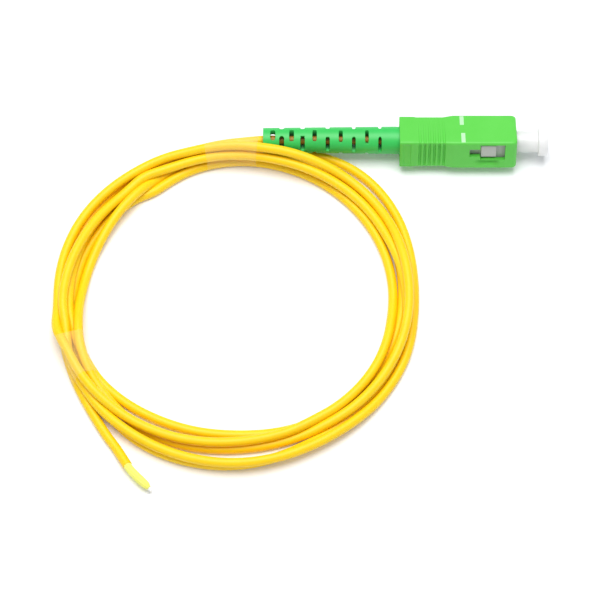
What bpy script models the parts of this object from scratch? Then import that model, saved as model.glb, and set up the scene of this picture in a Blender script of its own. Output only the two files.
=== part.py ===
"""Fibre optic pigtail: an angled push-pull connector with its dust cap, on 1.2 m of 2 mm cable.

Metres, +Z up. The connector points along +X and the floor is z = 0. The coil lies in front of
the connector, on the -Y side. The connector is rolled about its own length, because it rests on
its key and on the far bottom edge of its grip.
"""

import math

import bpy
import bmesh
from mathutils import Vector

# Running and seating clearances.
GAP = 0.0003
RUNNING_GAP = 0.00025

# Grip housing: the green sleeve that the fingers hold.
GRIP_LENGTH = 0.0250
GRIP_WIDTH = 0.0090
GRIP_HEIGHT = 0.0074
GRIP_EDGE_RADIUS = 0.0005
GRIP_FRONT_LENGTH = 0.01355
GRIP_RAMP_LENGTH = 0.0021
GRIP_LIP_LENGTH = 0.0035
GRIP_LIP_RAMP = 0.0006
WAIST_DEPTH = 0.00047
RIB_COUNT = 6
RIB_PITCH = 0.00103
RIB_GROOVE_WIDTH = 0.0005
RIB_START = 0.00055
RIB_GROOVE_DEPTH = 0.0003
FRONT_ROUND_LENGTH = 0.0011
FRONT_ROUND_SIDE = 0.0007
FRONT_ROUND_TOP = 0.0003
CAVITY_WIDTH = 0.0070
CAVITY_HEIGHT = 0.0060
CAVITY_LENGTH = 0.0145
REAR_CAVITY_WIDTH = 0.0064
REAR_CAVITY_HEIGHT = 0.0048
BOOT_BORE_GAP = 0.0004
GRIP_TRAVEL = 0.0015

# Key on the underside of the grip.
KEY_WIDTH = 0.0022
KEY_HEIGHT = 0.00085
KEY_LENGTH = 0.0085
KEY_SETBACK = 0.0022

# Stepped latch window through each side of the grip, measured back from the front face.
WINDOW_FRONT = 0.0025
WINDOW_MAIN_LENGTH = 0.0053
WINDOW_NARROW_LENGTH = 0.0023
WINDOW_TOP = 0.0030
WINDOW_BOTTOM = -0.00125
WINDOW_NARROW_TOP = 0.0018
WINDOW_NARROW_BOTTOM = -0.0003
SILL_GROOVE_LENGTH = 0.0036
SILL_GROOVE_TOP = -0.0016
SILL_GROOVE_BOTTOM = -0.0022
SILL_GROOVE_DEPTH = 0.0003

# Plug frame: the white inner body.
FRAME_SETBACK = 0.0009
FRAME_SIDE_GAP = 0.00025
FRAME_EDGE_RADIUS = 0.0004
FRAME_CHAMFER = 0.00013
FRAME_REAR_SETBACK = 0.0205
WELL_DIAMETER = 0.0050
WELL_DEPTH = 0.0062
CHAMBER_DIAMETER = 0.0040
SHOULDER_LENGTH = 0.0032
SHOULDER_HEIGHT = 0.0030
SHOULDER_PROUD = 0.0007
SHOULDER_SETBACK = 0.0044
SHOULDER_TOP = 0.0023
SPIGOT_DIAMETER = 0.0042
SPIGOT_LENGTH = 0.0065

# Ferrule with its end polished at an angle.
FERRULE_DIAMETER = 0.0025
FERRULE_PROUD = 0.0022
FERRULE_LENGTH = 0.0105
FERRULE_POLISH_ANGLE = math.radians(8.0)
FERRULE_FLANGE_DIAMETER = 0.0034
FERRULE_FLANGE_LENGTH = 0.0016
FERRULE_TRAVEL = 0.0010

# Dust cap pushed over the ferrule.
CAP_STEM_DIAMETER = 0.0046
CAP_STEM_PROUD = 0.0047
CAP_STEM_INSIDE = 0.0045
CAP_FLANGE_DIAMETER = 0.0062
CAP_FLANGE_THICKNESS = 0.0020
CAP_EDGE = 0.0003
CAP_BORE_GAP = 0.0001

# Boot: tapered strain relief with rings of slots.
BOOT_LENGTH = 0.02925
BOOT_SEAT_LENGTH = 0.0012
BOOT_TIP_DIAMETER = 0.0053
BOOT_ROOT_DIAMETER = 0.0059
BOOT_TIP_BORE = 0.0027
BOOT_LIFT = 0.0012
SLOT_RING_COUNT = 10
SLOT_FIRST = 0.0021
SLOT_FIRST_PITCH = 0.0019
SLOT_LAST_PITCH = 0.0028
SLOT_TIP_WIDTH = 0.00105
SLOT_ROOT_WIDTH = 0.00070
SLOTS_PER_RING = 3
SLOT_HALF_ANGLE = math.radians(34.0)
SLOT_START_ANGLE = math.radians(67.0)
SLOT_TURN_ANGLE = math.radians(45.0)

# Cable and its coil.
CABLE_DIAMETER = 0.0020
COIL_CENTRE = Vector((-0.0359, -0.0372, 0.0))
COIL_MIDDLE_RADIUS = 0.0354
COIL_INNER_SHOULDER = 0.0014
COIL_OUTER_SHOULDER = 0.0020

# How the hand-wound turns lie round the coil: angle in degrees, then inner and outer radius,
# inner and outer radius of the crest, and height of the crest.
COIL_STATIONS = [
    (0, 0.0320, 0.0384, 0.0340, 0.0370, 0.0038),
    (30, 0.0325, 0.0402, 0.0344, 0.0366, 0.0038),
    (60, 0.0331, 0.0414, 0.0345, 0.0358, 0.0036),
    (84, 0.0331, 0.0404, 0.0344, 0.0353, 0.00345),
    (95, 0.0330, 0.0400, 0.0361, 0.0375, 0.0055),
    (104, 0.0328, 0.0398, 0.0361, 0.0377, 0.0054),
    (120, 0.0324, 0.0397, 0.0348, 0.0382, 0.0046),
    (150, 0.0317, 0.0395, 0.0330, 0.0388, 0.0039),
    (180, 0.0320, 0.0389, 0.0330, 0.0378, 0.0042),
    (195, 0.0329, 0.0386, 0.0337, 0.0376, 0.0055),
    (212, 0.0326, 0.0389, 0.0358, 0.0373, 0.0055),
    (240, 0.0305, 0.0386, 0.0342, 0.0380, 0.0039),
    (270, 0.0297, 0.0384, 0.0324, 0.0378, 0.0038),
    (300, 0.0309, 0.0378, 0.0319, 0.0368, 0.0037),
    (330, 0.0319, 0.0382, 0.0326, 0.0360, 0.0040),
]

# Clear tape bands round the coil: the middle of each, and how far round it reaches.
TAPE_THICKNESS = 0.0002
TAPE_SPANS = 16
TAPE_TOP_ANGLE = math.radians(92.5)
TAPE_TOP_LENGTH = 0.0112
TAPE_LEFT_ANGLE = math.radians(202.5)
TAPE_LEFT_LENGTH = 0.0096

# Free end of the cable: jacket, then aramid yarn, then the bare buffered fibre.
TAIL_ROUTE = [
    (-0.0259, -0.0309, 0.0010),
    (-0.0242, -0.0338, 0.0010),
    (-0.0225, -0.0367, 0.0010),
]
YARN_ROUTE = [
    (-0.02228, -0.03700, 0.0010),
    (-0.0206, -0.0393, 0.0010),
    (-0.0184, -0.0413, 0.0010),
]
YARN_DIAMETER = 0.0019
FIBRE_ROUTE = [
    (-0.01815, -0.04150, 0.0008),
    (-0.01745, -0.04210, 0.0007),
]
FIBRE_DIAMETER = 0.0009

# Facets of a round piece, and how far a cutter runs past the face that it opens.
ROUND_STEPS = 32
OVERCUT = 0.001


def plain_material(name, colour, roughness, transmission=0.0):
    """Return a Principled material with one colour."""
    material = bpy.data.materials.new(name)
    material.use_nodes = True
    shader = material.node_tree.nodes["Principled BSDF"]
    shader.inputs["Base Color"].default_value = (*colour, 1.0)
    shader.inputs["Roughness"].default_value = roughness
    shader.inputs["Transmission Weight"].default_value = transmission
    material.diffuse_color = (*colour, 1.0)
    return material


def add_object(name, mesh, material, parent=None):
    """Link a mesh to the scene under its name, shaded smooth between its sharp edges."""
    mesh.shade_smooth()
    mesh.set_sharp_from_angle(angle=math.radians(32.0))
    piece = bpy.data.objects.new(name, mesh)
    bpy.context.collection.objects.link(piece)
    if material:
        piece.data.materials.append(material)
    piece.parent = parent
    return piece


def mesh_from(name, points, faces):
    """Return a mesh with its faces turned outward."""
    work = bmesh.new()
    corners = [work.verts.new(point) for point in points]
    for face in faces:
        work.faces.new([corners[index] for index in face])
    bmesh.ops.recalc_face_normals(work, faces=work.faces)
    mesh = bpy.data.meshes.new(name)
    work.to_mesh(mesh)
    work.free()
    return mesh


def loft(name, rings, closed=False):
    """Join equal rings of points into one skin, capped at both ends unless it closes on itself."""
    count = len(rings[0])
    points = [point for ring in rings for point in ring]
    faces = []
    spans = len(rings) if closed else len(rings) - 1
    for level in range(spans):
        below = level * count
        above = ((level + 1) % len(rings)) * count
        for step in range(count):
            turn = (step + 1) % count
            faces.append((below + step, below + turn, above + turn, above + step))
    if not closed:
        faces.append(tuple(range(count)))
        faces.append(tuple(range(len(points) - count, len(points))))
    return mesh_from(name, points, faces)


def rounded_ring(x, width, height, radius, steps=4, middle=(0.0, 0.0)):
    """Points of a rounded rectangle across the X axis, width along Y and height along Z."""
    ring = []
    corners = [(1, 1, 0), (-1, 1, 90), (-1, -1, 180), (1, -1, 270)]
    for side_y, side_z, start in corners:
        centre_y = middle[0] + side_y * (width / 2 - radius)
        centre_z = middle[1] + side_z * (height / 2 - radius)
        for step in range(steps + 1):
            angle = math.radians(start + 90 * step / steps)
            ring.append(Vector((
                x,
                centre_y + radius * math.cos(angle),
                centre_z + radius * math.sin(angle),
            )))
    return ring


def round_ring(x, radius, middle=(0.0, 0.0), steps=ROUND_STEPS):
    """Points of a circle across the X axis."""
    ring = []
    for step in range(steps):
        angle = 2 * math.pi * step / steps
        ring.append(Vector((
            x,
            middle[0] + radius * math.cos(angle),
            middle[1] + radius * math.sin(angle),
        )))
    return ring


def box_mesh(name, low, high):
    """Return a box between two corners."""
    ring_low = [
        Vector((low[0], low[1], low[2])),
        Vector((low[0], high[1], low[2])),
        Vector((low[0], high[1], high[2])),
        Vector((low[0], low[1], high[2])),
    ]
    ring_high = [Vector((high[0], corner.y, corner.z)) for corner in ring_low]
    return loft(name, [ring_low, ring_high])


def combine(piece, tool_name, tool_mesh, operation):
    """Add a live Boolean of a hidden tool to a piece."""
    tool = bpy.data.objects.new(tool_name, tool_mesh)
    bpy.context.collection.objects.link(tool)
    tool.parent = piece.parent
    tool.hide_render = True
    tool.display_type = "WIRE"
    modifier = piece.modifiers.new(tool_name, "BOOLEAN")
    modifier.operation = operation
    modifier.solver = "EXACT"
    modifier.object = tool


def resting_roll():
    """Angle that the connector rolls through until its key and its far edge touch the floor.

    The floor line passes through the key's far corner and touches the rounded bottom edge of
    the grip, so its slope is that of the line to the rounding's centre, less the angle that the
    rounding itself takes up.
    """
    run = GRIP_WIDTH / 2 - GRIP_EDGE_RADIUS - KEY_WIDTH / 2
    rise = KEY_HEIGHT + GRIP_EDGE_RADIUS
    reach = math.hypot(run, rise)
    return math.atan2(rise, run) - math.asin(GRIP_EDGE_RADIUS / reach)


def resting_height(roll):
    """Height of the connector's axis over the floor that its key's far corner touches."""
    key_bottom = GRIP_HEIGHT / 2 + KEY_HEIGHT
    return KEY_WIDTH / 2 * math.sin(roll) + key_bottom * math.cos(roll)


def grip_stations():
    """List (x, inset from the side, inset from the top) along the grip, back to front."""
    rear = -GRIP_LENGTH
    waist_start = rear + GRIP_LIP_LENGTH
    waist_end = -GRIP_FRONT_LENGTH - GRIP_RAMP_LENGTH
    stations = [
        (rear, 0.00025, 0.00025),
        (rear + 0.0002, 0.0, 0.0),
        (waist_start - GRIP_LIP_RAMP, 0.0, 0.0),
    ]
    deep = WAIST_DEPTH + RIB_GROOVE_DEPTH
    for rib in range(RIB_COUNT):
        groove = waist_start + RIB_START + RIB_PITCH * rib
        stations.append((groove, WAIST_DEPTH, WAIST_DEPTH))
        stations.append((groove + 0.00008, deep, deep))
        stations.append((groove + RIB_GROOVE_WIDTH - 0.00008, deep, deep))
        stations.append((groove + RIB_GROOVE_WIDTH, WAIST_DEPTH, WAIST_DEPTH))
    stations.append((waist_end, WAIST_DEPTH, WAIST_DEPTH))
    stations.append((-GRIP_FRONT_LENGTH, 0.0, 0.0))
    for step in range(5):
        turn = math.pi / 2 * step / 4
        stations.append((
            -FRONT_ROUND_LENGTH * (1 - math.sin(turn)),
            FRONT_ROUND_SIDE * (1 - math.cos(turn)),
            FRONT_ROUND_TOP * (1 - math.cos(turn)),
        ))
    return stations


def boot_centre(x):
    """Offset (y, z) of the boot's centre line, which the coil lifts toward its tip."""
    seat = -GRIP_LENGTH + BOOT_SEAT_LENGTH
    share = max(0.0, (seat - x) / (BOOT_LENGTH + BOOT_SEAT_LENGTH))
    lift = BOOT_LIFT * math.sin(math.pi / 2 * min(share, 1.0))
    return (-lift * math.sin(ROLL), lift * math.cos(ROLL))


def boot_radius(x):
    """Outer radius of the boot, tapering from its root to its tip."""
    share = min(max((-GRIP_LENGTH - x) / BOOT_LENGTH, 0.0), 1.0)
    diameter = BOOT_ROOT_DIAMETER + (BOOT_TIP_DIAMETER - BOOT_ROOT_DIAMETER) * share
    return diameter / 2


def coil_sizes(angle):
    """Inner and outer radius, crest radii and crest height at an angle, eased between stations."""
    degrees = math.degrees(angle) % 360
    count = len(COIL_STATIONS)
    for index in range(count):
        low = COIL_STATIONS[index]
        high = COIL_STATIONS[(index + 1) % count]
        end = high[0] if index + 1 < count else 360
        if low[0] <= degrees <= end:
            share = (1 - math.cos(math.pi * (degrees - low[0]) / (end - low[0]))) / 2
            return [start + (stop - start) * share for start, stop in zip(low[1:], high[1:])]
    return list(COIL_STATIONS[0][1:])


def coil_profile(angle, inset):
    """Cross-section (radius, height) of the coil, drawn in by an inset on every side."""
    inner, outer, crest_inner, crest_outer, height = coil_sizes(angle)
    edge = CABLE_DIAMETER * 0.3
    inner += inset
    outer -= inset
    return [
        (inner + edge, inset),
        (outer - edge, inset),
        (outer, inset + edge),
        (outer, COIL_OUTER_SHOULDER - edge - inset * 0.5),
        (outer - edge, COIL_OUTER_SHOULDER - inset),
        (crest_outer - inset * 0.5, height - inset),
        (crest_inner + inset * 0.5, height - inset),
        (inner, COIL_INNER_SHOULDER - inset * 0.5),
        (inner, inset + edge),
    ]


def coil_ring(angle, inset):
    """Place the coil's cross-section at an angle round its centre."""
    ring = []
    for radius, height in coil_profile(angle, inset):
        ring.append(COIL_CENTRE + Vector((
            radius * math.cos(angle),
            radius * math.sin(angle),
            height,
        )))
    return ring


def tape_span(middle_angle, length, spare=0.0):
    """First and last angle of a tape band, widened by a spare length at each end."""
    half = (length / 2 + spare) / COIL_MIDDLE_RADIUS
    return middle_angle - half, middle_angle + half


def coil_mesh():
    """Turn the coil's section once round its centre, with a shallow seat under each tape band."""
    seat_depth = TAPE_THICKNESS + GAP
    seats = [
        tape_span(TAPE_TOP_ANGLE, TAPE_TOP_LENGTH, GAP),
        tape_span(TAPE_LEFT_ANGLE, TAPE_LEFT_LENGTH, GAP),
    ]
    step = 2 * math.pi / 90
    marks = []
    cursor = seats[0][0] - 2 * math.pi
    limits = []
    for low, high in seats:
        limits.append((cursor, low, 0.0))
        limits.append((low, high, seat_depth))
        cursor = high
    limits[0] = (seats[-1][1] - 2 * math.pi, seats[0][0], 0.0)
    for low, high, inset in limits:
        spans = TAPE_SPANS if inset else max(1, round((high - low) / step))
        for index in range(spans + 1):
            marks.append((low + (high - low) * index / spans, inset))
    return loft("cable_coil", [coil_ring(angle, inset) for angle, inset in marks], closed=True)


def tape_mesh(name, middle_angle, length):
    """A thin sleeve bent round the coil, flush with the coil's own outline."""
    low, high = tape_span(middle_angle, length)
    angles = [low + (high - low) * index / TAPE_SPANS for index in range(TAPE_SPANS + 1)]
    outer = [coil_ring(angle, 0.0) for angle in angles]
    inner = [coil_ring(angle, TAPE_THICKNESS) for angle in angles]
    return loft(name, outer + inner[::-1], closed=True)


def smooth_points(route, count):
    """Read evenly numbered points from a smooth curve through a route's own points."""
    nodes = [Vector(point) for point in route]
    nodes = [2 * nodes[0] - nodes[1]] + nodes + [2 * nodes[-1] - nodes[-2]]
    points = []
    spans = len(nodes) - 3
    for index in range(count + 1):
        place = spans * index / count
        span = min(int(place), spans - 1)
        t = place - span
        a, b, c, d = nodes[span:span + 4]
        points.append(0.5 * (
            2 * b
            + (c - a) * t
            + (2 * a - 5 * b + 4 * c - d) * t * t
            + (3 * b - a - 3 * c + d) * t ** 3
        ))
    return points


def cord_object(name, points, diameter, material):
    """Make a round cord as a bevelled curve with closed ends."""
    curve = bpy.data.curves.new(name, "CURVE")
    curve.dimensions = "3D"
    curve.bevel_depth = diameter / 2
    curve.bevel_resolution = 2
    curve.use_fill_caps = True
    spline = curve.splines.new("POLY")
    spline.points.add(len(points) - 1)
    for slot, point in zip(spline.points, points):
        slot.co = (*point, 1.0)
    curve.materials.append(material)
    cord = bpy.data.objects.new(name, curve)
    bpy.context.collection.objects.link(cord)
    return cord


for old in list(bpy.data.objects):
    bpy.data.objects.remove(old, do_unlink=True)

green_plastic = plain_material("green_moulded_plastic", (0.17, 0.78, 0.13), 0.38)
boot_plastic = plain_material("green_soft_plastic", (0.09, 0.70, 0.17), 0.48)
frame_plastic = plain_material("grey_white_plastic", (0.62, 0.63, 0.60), 0.4)
zirconia = plain_material("white_zirconia", (0.90, 0.90, 0.87), 0.12)
cap_plastic = plain_material("clear_soft_plastic", (0.88, 0.88, 0.86), 0.3, 0.4)
jacket = plain_material("yellow_cable_jacket", (0.95, 0.68, 0.02), 0.4)
aramid = plain_material("aramid_yarn", (0.95, 0.93, 0.30), 0.7)
buffer_coat = plain_material("white_fibre_buffer", (0.88, 0.88, 0.86), 0.35)
tape_film = plain_material("clear_tape", (0.93, 0.88, 0.76), 0.3, 0.6)

ROLL = resting_roll()
AXIS_HEIGHT = resting_height(ROLL)

# The connector's frame: its origin is the middle of the grip's front face, +X points forward.
cap_end = CAP_STEM_PROUD + CAP_FLANGE_THICKNESS
boot_end = -GRIP_LENGTH - BOOT_LENGTH
axis = bpy.data.objects.new("connector_axis", None)
bpy.context.collection.objects.link(axis)
axis.location = (-(cap_end + boot_end) / 2, 0.0, AXIS_HEIGHT)
axis.rotation_euler = (-ROLL, 0.0, 0.0)

# Grip: a lofted sleeve with a key, a cavity for the plug frame and a latch window in each side.
rings = []
for x, side_inset, top_inset in grip_stations():
    width = GRIP_WIDTH - 2 * side_inset
    height = GRIP_HEIGHT - 2 * top_inset
    rings.append(rounded_ring(x, width, height, GRIP_EDGE_RADIUS))
grip = add_object("outer_housing", loft("outer_housing", rings), green_plastic, axis)
key_low = (-KEY_SETBACK - KEY_LENGTH, -KEY_WIDTH / 2, -GRIP_HEIGHT / 2 - KEY_HEIGHT)
key_high = (-KEY_SETBACK, KEY_WIDTH / 2, -CAVITY_HEIGHT / 2 - 0.0003)
combine(grip, "key_bar", box_mesh("key_bar", key_low, key_high), "UNION")
cavity = [
    rounded_ring(-GRIP_LENGTH - OVERCUT, REAR_CAVITY_WIDTH, REAR_CAVITY_HEIGHT, FRAME_EDGE_RADIUS),
    rounded_ring(-CAVITY_LENGTH, REAR_CAVITY_WIDTH, REAR_CAVITY_HEIGHT, FRAME_EDGE_RADIUS),
    rounded_ring(-CAVITY_LENGTH, CAVITY_WIDTH, CAVITY_HEIGHT, FRAME_EDGE_RADIUS),
    rounded_ring(OVERCUT, CAVITY_WIDTH, CAVITY_HEIGHT, FRAME_EDGE_RADIUS),
]
rear_bore_depth = BOOT_SEAT_LENGTH + GRIP_TRAVEL + GAP
rear_bore_radius = BOOT_ROOT_DIAMETER / 2 + BOOT_BORE_GAP
rear_bore = [
    round_ring(-GRIP_LENGTH - OVERCUT, rear_bore_radius),
    round_ring(-GRIP_LENGTH + rear_bore_depth, rear_bore_radius),
]
combine(grip, "grip_cavity", loft("grip_cavity", cavity), "DIFFERENCE")
combine(grip, "grip_rear_bore", loft("grip_rear_bore", rear_bore), "DIFFERENCE")
main_back = -WINDOW_FRONT - WINDOW_MAIN_LENGTH
narrow_back = main_back - WINDOW_NARROW_LENGTH
for side, side_name in ((-1, "near"), (1, "far")):
    wall_y = sorted((side * (CAVITY_WIDTH / 2 - OVERCUT / 4), side * GRIP_WIDTH))
    groove_y = sorted((side * (GRIP_WIDTH / 2 - SILL_GROOVE_DEPTH), side * GRIP_WIDTH))
    cuts = [
        ("window_main_", main_back, -WINDOW_FRONT, wall_y, WINDOW_BOTTOM, WINDOW_TOP),
        ("window_narrow_", narrow_back, main_back + OVERCUT / 4, wall_y,
         WINDOW_NARROW_BOTTOM, WINDOW_NARROW_TOP),
        ("sill_groove_", main_back, main_back + SILL_GROOVE_LENGTH, groove_y,
         SILL_GROOVE_BOTTOM, SILL_GROOVE_TOP),
    ]
    for cut_name, back, front, across, low, high in cuts:
        name = cut_name + side_name
        cut_mesh = box_mesh(name, (back, across[0], low), (front, across[1], high))
        combine(grip, name, cut_mesh, "DIFFERENCE")

# Plug frame: a block that fills the cavity, with latch shoulders in the windows, a well round
# the ferrule, a chamber for the ferrule's flange and a spigot for the boot.
frame_width = CAVITY_WIDTH - 2 * FRAME_SIDE_GAP
frame_height = CAVITY_HEIGHT - 2 * FRAME_SIDE_GAP
rear_width = REAR_CAVITY_WIDTH - 2 * FRAME_SIDE_GAP
rear_height = REAR_CAVITY_HEIGHT - 2 * FRAME_SIDE_GAP
frame_step = -CAVITY_LENGTH + GAP
frame_rings = [
    rounded_ring(-FRAME_REAR_SETBACK, rear_width, rear_height, FRAME_EDGE_RADIUS),
    rounded_ring(frame_step, rear_width, rear_height, FRAME_EDGE_RADIUS),
    rounded_ring(frame_step, frame_width, frame_height, FRAME_EDGE_RADIUS),
    rounded_ring(-FRAME_SETBACK - FRAME_CHAMFER, frame_width, frame_height, FRAME_EDGE_RADIUS),
    rounded_ring(
        -FRAME_SETBACK,
        frame_width - 2 * FRAME_CHAMFER,
        frame_height - 2 * FRAME_CHAMFER,
        FRAME_EDGE_RADIUS,
    ),
]
frame = add_object("plug_frame", loft("plug_frame", frame_rings), frame_plastic, axis)
shoulder_low = SHOULDER_TOP - SHOULDER_HEIGHT
for side, side_name in ((-1, "near"), (1, "far")):
    name = "latch_shoulder_" + side_name
    shoulder_y = sorted((side * (frame_width / 2 - 0.0006), side * (frame_width / 2 + SHOULDER_PROUD)))
    shoulder_mesh = box_mesh(
        name,
        (-SHOULDER_SETBACK - SHOULDER_LENGTH, shoulder_y[0], shoulder_low),
        (-SHOULDER_SETBACK, shoulder_y[1], SHOULDER_TOP),
    )
    combine(frame, name, shoulder_mesh, "UNION")
spigot = [
    round_ring(-FRAME_REAR_SETBACK - SPIGOT_LENGTH, SPIGOT_DIAMETER / 2),
    round_ring(-FRAME_REAR_SETBACK + OVERCUT, SPIGOT_DIAMETER / 2),
]
combine(frame, "frame_spigot", loft("frame_spigot", spigot), "UNION")
well_floor = -FRAME_SETBACK - WELL_DEPTH
ferrule_rear = FERRULE_PROUD - FERRULE_LENGTH
chamber_front = ferrule_rear + GAP
chamber_back = ferrule_rear - FERRULE_FLANGE_LENGTH - FERRULE_TRAVEL - GAP
guide_radius = FERRULE_DIAMETER / 2 + RUNNING_GAP
cable_bore_radius = CABLE_DIAMETER / 2 + GAP
frame_bore = [
    round_ring(OVERCUT, WELL_DIAMETER / 2),
    round_ring(well_floor, WELL_DIAMETER / 2),
    round_ring(well_floor, guide_radius),
    round_ring(chamber_front, guide_radius),
    round_ring(chamber_front, CHAMBER_DIAMETER / 2),
    round_ring(chamber_back, CHAMBER_DIAMETER / 2),
    round_ring(chamber_back, cable_bore_radius),
    round_ring(-FRAME_REAR_SETBACK - SPIGOT_LENGTH - OVERCUT, cable_bore_radius),
]
combine(frame, "frame_bore", loft("frame_bore", frame_bore), "DIFFERENCE")

# Ferrule: a ceramic rod with a flange at its rear, its front cut at the polish angle.
ferrule_rings = [
    round_ring(ferrule_rear - FERRULE_FLANGE_LENGTH, FERRULE_FLANGE_DIAMETER / 2),
    round_ring(ferrule_rear, FERRULE_FLANGE_DIAMETER / 2),
    round_ring(ferrule_rear, FERRULE_DIAMETER / 2),
    round_ring(FERRULE_PROUD - 0.0006, FERRULE_DIAMETER / 2),
    round_ring(FERRULE_PROUD - 0.0002, FERRULE_DIAMETER / 2 - 0.0004),
]
for point in ferrule_rings[-1]:
    point.x += point.y * math.tan(FERRULE_POLISH_ANGLE)
ferrule = add_object("ferrule", loft("ferrule", ferrule_rings), zirconia, axis)

# Dust cap: a blind sleeve over the ferrule with a round flange at its end.
cap_bore = FERRULE_DIAMETER / 2 + CAP_BORE_GAP
cap_radius = CAP_STEM_DIAMETER / 2
cap_flange = CAP_FLANGE_DIAMETER / 2
cap_rings = [
    round_ring(FERRULE_PROUD + GAP, 0.0002),
    round_ring(FERRULE_PROUD + GAP, cap_bore),
    round_ring(-CAP_STEM_INSIDE, cap_bore),
    round_ring(-CAP_STEM_INSIDE, cap_radius),
    round_ring(CAP_STEM_PROUD, cap_radius),
    round_ring(CAP_STEM_PROUD, cap_flange - CAP_EDGE),
    round_ring(CAP_STEM_PROUD + CAP_EDGE, cap_flange),
    round_ring(cap_end - CAP_EDGE, cap_flange),
    round_ring(cap_end, cap_flange - CAP_EDGE),
]
cap = add_object("dust_cap", loft("dust_cap", cap_rings), cap_plastic, axis)

# Boot: a bent tapered tube with rings of slots, every second ring turned round from the first.
seat_end = -GRIP_LENGTH + BOOT_SEAT_LENGTH
boot_stations = 12
outer_rings = []
inner_rings = []
root_bore = SPIGOT_DIAMETER / 2 + GAP
step_x = -FRAME_REAR_SETBACK - SPIGOT_LENGTH - GAP
for index in range(boot_stations + 1):
    x = boot_end + (seat_end - boot_end) * index / boot_stations
    outer_rings.append(round_ring(x, boot_radius(x), boot_centre(x)))
inner_rings.append(round_ring(seat_end, root_bore, boot_centre(seat_end)))
inner_rings.append(round_ring(step_x, root_bore, boot_centre(step_x)))
inner_rings.append(round_ring(step_x, BOOT_TIP_BORE / 2, boot_centre(step_x)))
for index in range(boot_stations - 1, -1, -1):
    x = boot_end + (step_x - boot_end) * index / boot_stations
    inner_rings.append(round_ring(x, BOOT_TIP_BORE / 2, boot_centre(x)))
boot = add_object("boot", loft("boot", outer_rings + inner_rings, closed=True), boot_plastic, axis)
slot_x = boot_end + SLOT_FIRST
for ring_index in range(SLOT_RING_COUNT):
    share = ring_index / (SLOT_RING_COUNT - 1)
    width = SLOT_TIP_WIDTH + (SLOT_ROOT_WIDTH - SLOT_TIP_WIDTH) * share
    middle = boot_centre(slot_x)
    turn = SLOT_TURN_ANGLE * (ring_index % 2)
    sectors = []
    for slot in range(SLOTS_PER_RING):
        centre_angle = SLOT_START_ANGLE - turn + 2 * math.pi * slot / SLOTS_PER_RING
        corners = [(0.0009, -SLOT_HALF_ANGLE), (0.0009, SLOT_HALF_ANGLE)]
        for step in range(5):
            corners.append((0.0040, SLOT_HALF_ANGLE * (1 - step / 2)))
        front = []
        for radius, angle in corners:
            across = centre_angle + angle
            front.append(Vector((
                slot_x - width / 2,
                middle[0] - radius * math.cos(across),
                middle[1] + radius * math.sin(across),
            )))
        back = [Vector((slot_x + width / 2, point.y, point.z)) for point in front]
        sectors.append((front, back))
    for slot, (front, back) in enumerate(sectors):
        name = "slot_{}_{}".format(ring_index, slot)
        combine(boot, name, loft(name, [front, back]), "DIFFERENCE")
    slot_x += SLOT_FIRST_PITCH + (SLOT_LAST_PITCH - SLOT_FIRST_PITCH) * min(1.0, ring_index / 4)

# Coil: one turned solid of the outer shape of the turns, and the tape bands that hold it.
coil = add_object("cable_coil", coil_mesh(), jacket)
top_tape = tape_mesh("tape_band_top", TAPE_TOP_ANGLE, TAPE_TOP_LENGTH)
left_tape = tape_mesh("tape_band_left", TAPE_LEFT_ANGLE, TAPE_LEFT_LENGTH)
add_object("tape_band_top", top_tape, tape_film)
add_object("tape_band_left", left_tape, tape_film)

# Lead: from inside the spigot, along the boot's bore, to where it meets the coil.
shift = axis.location.x
lead_points = []
lead_start = -FRAME_REAR_SETBACK - SPIGOT_LENGTH / 2
for index in range(9):
    x = lead_start + (boot_end - lead_start) * index / 8
    middle = boot_centre(x)
    lead_points.append((
        x + shift,
        middle[0] * math.cos(ROLL) + middle[1] * math.sin(ROLL),
        AXIS_HEIGHT - middle[0] * math.sin(ROLL) + middle[1] * math.cos(ROLL),
    ))
tip = lead_points[-1]
lead_points.append((tip[0] - 0.0012, tip[1], tip[2] - 0.00005))
lead_points.append((tip[0] - 0.0024, tip[1] - 0.0001, tip[2] - 0.0002))
cord_object("cable_lead", smooth_points(lead_points, 18), CABLE_DIAMETER, jacket)

# Free end: the jacket leaves the coil, then the yarn and the bare fibre stand out of it.
tail_points = [COIL_CENTRE + Vector(point) for point in TAIL_ROUTE]
cord_object("cable_tail", smooth_points(tail_points, 6), CABLE_DIAMETER, jacket)
yarn_points = [COIL_CENTRE + Vector(point) for point in YARN_ROUTE]
cord_object("aramid_yarn", smooth_points(yarn_points, 4), YARN_DIAMETER, aramid)
fibre_points = [COIL_CENTRE + Vector(point) for point in FIBRE_ROUTE]
cord_object("buffered_fibre", smooth_points(fibre_points, 2), FIBRE_DIAMETER, buffer_coat)
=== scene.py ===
"""Fibre optic pigtail: a green push-pull connector on a coil of yellow 2 mm cable with a bare end.

Metres in the frame, millimetres in the sections below. The connector points along +X and lies
on the floor z = 0, behind its coil. Sections follow the object as it is put together.
"""

import math

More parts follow.
